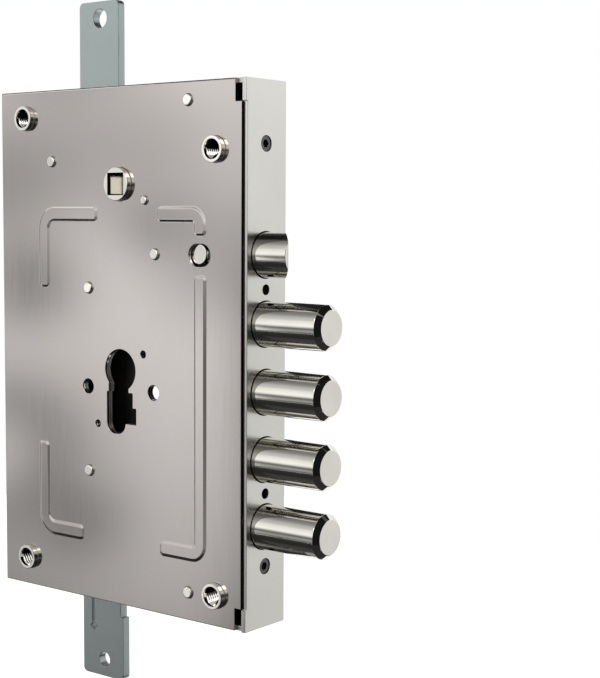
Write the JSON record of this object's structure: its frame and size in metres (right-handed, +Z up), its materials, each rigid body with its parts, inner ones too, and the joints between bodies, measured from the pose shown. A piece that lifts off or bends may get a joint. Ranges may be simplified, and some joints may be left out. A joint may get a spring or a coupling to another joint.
{
  "type": "rim lock",
  "caption": "Flat steel lock case with round deadbolts, a bevelled latch, a keyhole for a profile cylinder, a square handle hub and rods out of the top and bottom.",
  "frame": {"origin": "a point on the forend's outer face, mid depth, level with the axis of the handle follower", "axes": "+X out of the forend, the way the bolts are thrown; +Y from the cover to the back plate; +Z up along the forend"},
  "size_m": [0.1735, 0.027, 0.2948],
  "materials": {
    "cover_steel": "satin",
    "case_steel": "satin",
    "forend_steel": "satin",
    "bolt_nickel": "polished",
    "fitting_nickel": "polished",
    "rod_zinc": "satin",
    "inner_steel": "satin",
    "spring_steel": "drawn",
    "screw_black": "blackened"
  },
  "bodies": {
    "case": {"case_tray": "case_steel", "case_cover": "cover_steel", "forend_plate": "forend_steel", "forend_screws": "screw_black", "forend_blocks": "inner_steel", "bolt_guide": "inner_steel", "cylinder_armour_plate": "inner_steel", "bush_top_left": "fitting_nickel", "bush_top_right": "fitting_nickel", "bush_bottom_left": "fitting_nickel", "bush_bottom_right": "fitting_nickel", "rod_post": "fitting_nickel", "latch_post": "fitting_nickel", "stop_post": "fitting_nickel", "upper_spacer_post": "fitting_nickel", "lower_spacer_post": "fitting_nickel", "upper_carriage_stud": "fitting_nickel", "lower_carriage_stud": "fitting_nickel", "lever_post": "fitting_nickel", "upper_rod_rest": "inner_steel", "lower_rod_rest": "inner_steel", "latch_spring_bracket": "inner_steel", "lever_spring_bracket": "inner_steel", "latch_spring": "spring_steel", "lever_spring": "spring_steel", "hub_spring": "spring_steel"},
    "carriage": {"bolt_carriage": "inner_steel", "deadbolt_1": "bolt_nickel", "deadbolt_2": "bolt_nickel", "deadbolt_3": "bolt_nickel", "deadbolt_4": "bolt_nickel", "bolt_pins": "inner_steel", "rod_drive_pins": "inner_steel", "stump_pin": "inner_steel"},
    "upper_rod": {"upper_rod": "rod_zinc"},
    "lower_rod": {"lower_rod": "rod_zinc"},
    "latch": {"latch_bolt": "bolt_nickel", "latch_bar": "inner_steel", "latch_screw": "fitting_nickel"},
    "follower": {"handle_follower": "fitting_nickel"},
    "lever": {"locking_lever": "inner_steel"}
  },
  "joints": [
    {"name": "bolt_slide", "type": "slide", "parent": "case", "child": "carriage", "axis": [1, 0, 0], "range_m": [-0.03, 0]},
    {"name": "upper_rod_slide", "type": "slide", "parent": "case", "child": "upper_rod", "axis": [0, 0, 1], "range_m": [-0.02, 0]},
    {"name": "lower_rod_slide", "type": "slide", "parent": "case", "child": "lower_rod", "axis": [0, 0, -1], "range_m": [-0.02, 0]},
    {"name": "latch_slide", "type": "slide", "parent": "case", "child": "latch", "axis": [1, 0, 0], "range_m": [-0.0152, 0], "stiffness_N_per_m": 500, "springref_m": 0.012, "deforming": ["latch_spring"]},
    {"name": "follower_turn", "type": "hinge", "parent": "case", "child": "follower", "pos_m": [-0.0683, 0, 0], "axis": [0, 1, 0], "range_deg": [0, 40], "stiffness_Nm_per_rad": 0.3, "springref_deg": -28.65, "deforming": ["hub_spring"]},
    {"name": "lever_drop", "type": "hinge", "parent": "case", "child": "lever", "pos_m": [-0.128, 0, -0.03], "axis": [0, 1, 0], "range_deg": [0, 5], "stiffness_Nm_per_rad": 0.2, "springref_deg": 22.92, "deforming": ["lever_spring"]}
  ],
  "couplings": [
    {"joint": "upper_rod_slide", "follows": "bolt_slide", "ratio": 0.66666},
    {"joint": "lower_rod_slide", "follows": "bolt_slide", "ratio": 0.66666},
    {"joint": "follower_turn", "follows": "latch_slide", "rad_per_m": -45.93}
  ]
}
